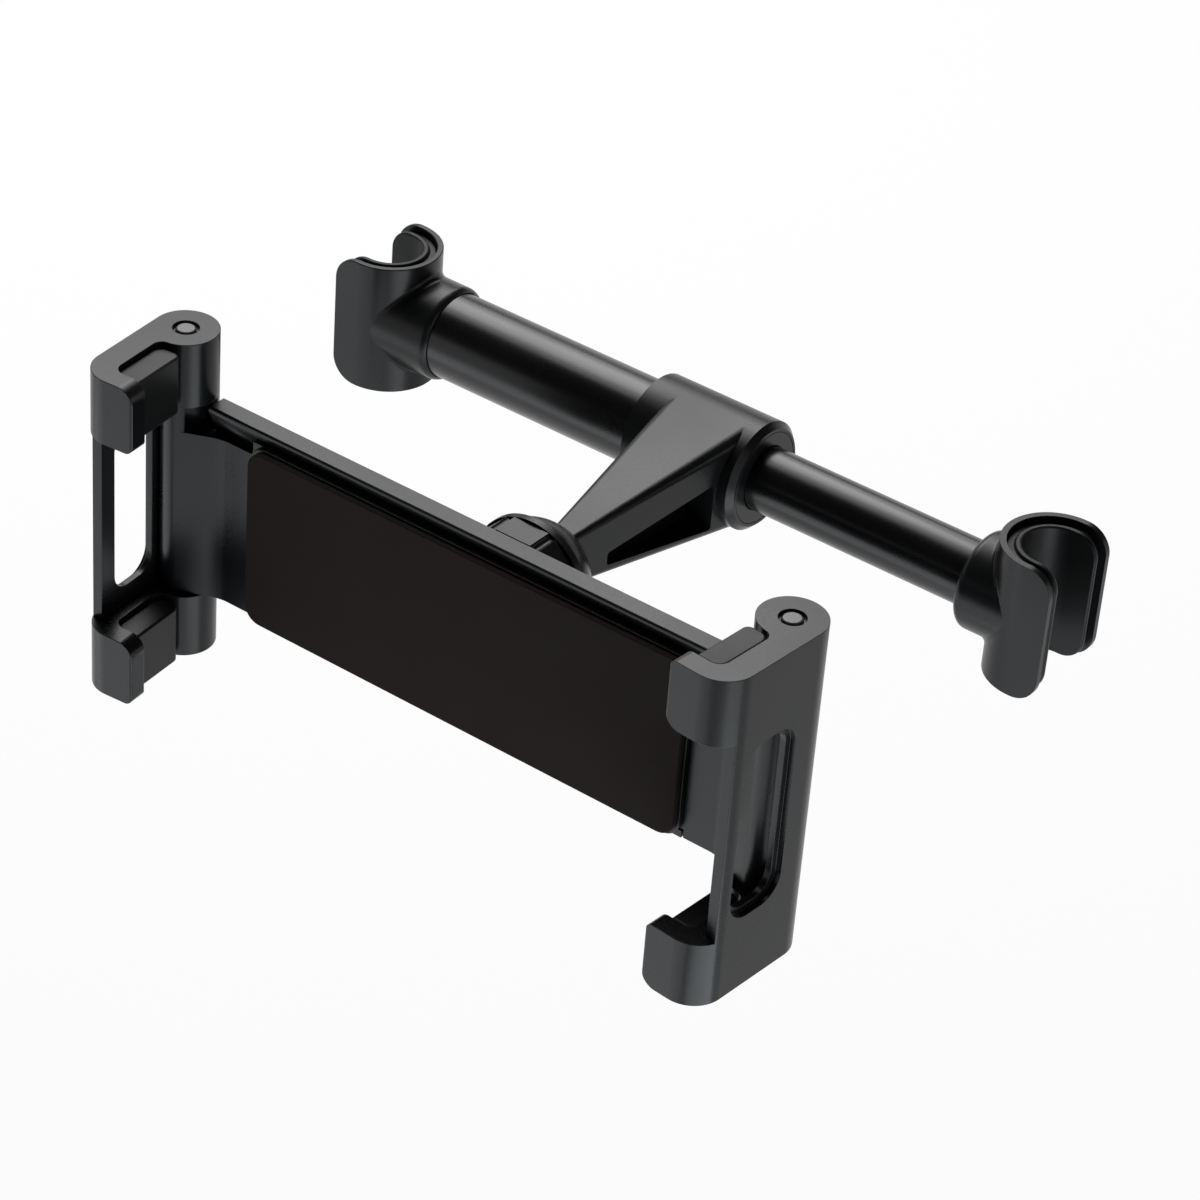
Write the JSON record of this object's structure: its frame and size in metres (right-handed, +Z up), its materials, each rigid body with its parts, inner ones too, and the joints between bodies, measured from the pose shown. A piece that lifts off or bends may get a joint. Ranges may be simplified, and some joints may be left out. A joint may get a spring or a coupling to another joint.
{
  "type": "headrest tablet mount",
  "caption": "Spring-loaded bar that clips between two headrest posts and carries, on a lockable ball joint, a wide tablet holder with folding hooked side arms.",
  "frame": {"origin": "axis of the left headrest post at the height of the bar's axis", "axes": "+X along the bar to the right post, -Y out of the holder towards the viewer of the tablet, +Z up along the posts"},
  "size_m": [0.1854, 0.1221, 0.0762],
  "materials": {
    "satin_black_plastic": "fine moulded satin",
    "tube_black": "smooth semi-gloss black coat",
    "pad_rubber": "matte soft rubber",
    "liner_rubber": "smooth soft rubber",
    "pin_steel": "blackened steel, satin",
    "spring_steel": "drawn steel wire",
    "gear_plastic": "natural acetal",
    "ball_plastic": "smooth polished black"
  },
  "bodies": {
    "post_bar": {"left_clip": "satin_black_plastic", "left_clip_liner": "liner_rubber", "outer_tube": "tube_black", "tube_bush": "satin_black_plastic", "bracket": "satin_black_plastic", "bar_spring": "spring_steel"},
    "bar_slide": {"inner_tube": "tube_black", "guide_plug": "satin_black_plastic", "right_clip": "satin_black_plastic", "right_clip_liner": "liner_rubber"},
    "nut": {"lock_nut": "satin_black_plastic"},
    "rear_seat": {"ball_seat": "gear_plastic"},
    "front_ring": {"pressure_ring": "gear_plastic"},
    "holder": {"ball_stud": "ball_plastic", "stud_screws": "pin_steel", "rear_housing": "satin_black_plastic", "front_panel": "satin_black_plastic", "front_pad": "pad_rubber", "pinion_axle": "pin_steel", "left_return_spring": "spring_steel", "right_return_spring": "spring_steel"},
    "left_slider": {"left_carrier": "satin_black_plastic"},
    "right_slider": {"right_carrier": "satin_black_plastic"},
    "pinion": {"drive_pinion": "gear_plastic"},
    "left_side_arm": {"left_arm": "satin_black_plastic", "left_hinge_pin": "pin_steel", "left_upper_grip_pad": "pad_rubber", "left_lower_grip_pad": "pad_rubber"},
    "right_side_arm": {"right_arm": "satin_black_plastic", "right_hinge_pin": "pin_steel", "right_upper_grip_pad": "pad_rubber", "right_lower_grip_pad": "pad_rubber"}
  },
  "joints": [
    {"name": "bar_telescope", "type": "slide", "parent": "post_bar", "child": "bar_slide", "axis": [1, 0, 0], "range_m": [-0.035, 0], "stiffness_N_per_m": 250, "springref_m": 0.03, "deforming": ["bar_spring"]},
    {"name": "nut_turn", "type": "hinge", "parent": "post_bar", "child": "nut", "pos_m": [0.0895, -0.0638, 0], "axis": [0, 1, 0], "range_deg": [0, 180]},
    {"name": "ball_pan", "type": "hinge", "parent": "post_bar", "child": "rear_seat", "pos_m": [0.0895, -0.0638, 0], "axis": [0, 0, 1], "range_deg": [-14, 14]},
    {"name": "ball_tilt", "type": "hinge", "parent": "rear_seat", "child": "front_ring", "pos_m": [0.0895, -0.0638, 0], "axis": [1, 0, 0], "range_deg": [-14, 14]},
    {"name": "ball_spin", "type": "hinge", "parent": "front_ring", "child": "holder", "pos_m": [0.0895, -0.0638, 0], "axis": [0, 1, 0], "continuous": true},
    {"name": "left_carrier_slide", "type": "slide", "parent": "holder", "child": "left_slider", "axis": [-1, 0, 0], "range_m": [0, 0.048], "stiffness_N_per_m": 60, "springref_m": -0.04, "deforming": ["left_return_spring"]},
    {"name": "right_carrier_slide", "type": "slide", "parent": "holder", "child": "right_slider", "axis": [1, 0, 0], "range_m": [0, 0.048], "stiffness_N_per_m": 60, "springref_m": -0.04, "deforming": ["right_return_spring"]},
    {"name": "pinion_turn", "type": "hinge", "parent": "holder", "child": "pinion", "pos_m": [0.0895, -0.0804, 0], "axis": [0, -1, 0], "range_deg": [0, 573]},
    {"name": "left_arm_fold", "type": "hinge", "parent": "left_slider", "child": "left_side_arm", "pos_m": [0.0145, -0.0833, -0.0018], "axis": [0, 0, 1], "range_deg": [0, 85]},
    {"name": "right_arm_fold", "type": "hinge", "parent": "right_slider", "child": "right_side_arm", "pos_m": [0.1645, -0.0833, -0.0018], "axis": [0, 0, -1], "range_deg": [0, 85]}
  ],
  "couplings": [
    {"joint": "right_carrier_slide", "follows": "left_carrier_slide", "ratio": 1},
    {"joint": "pinion_turn", "follows": "left_carrier_slide", "rad_per_m": 208.33}
  ]
}
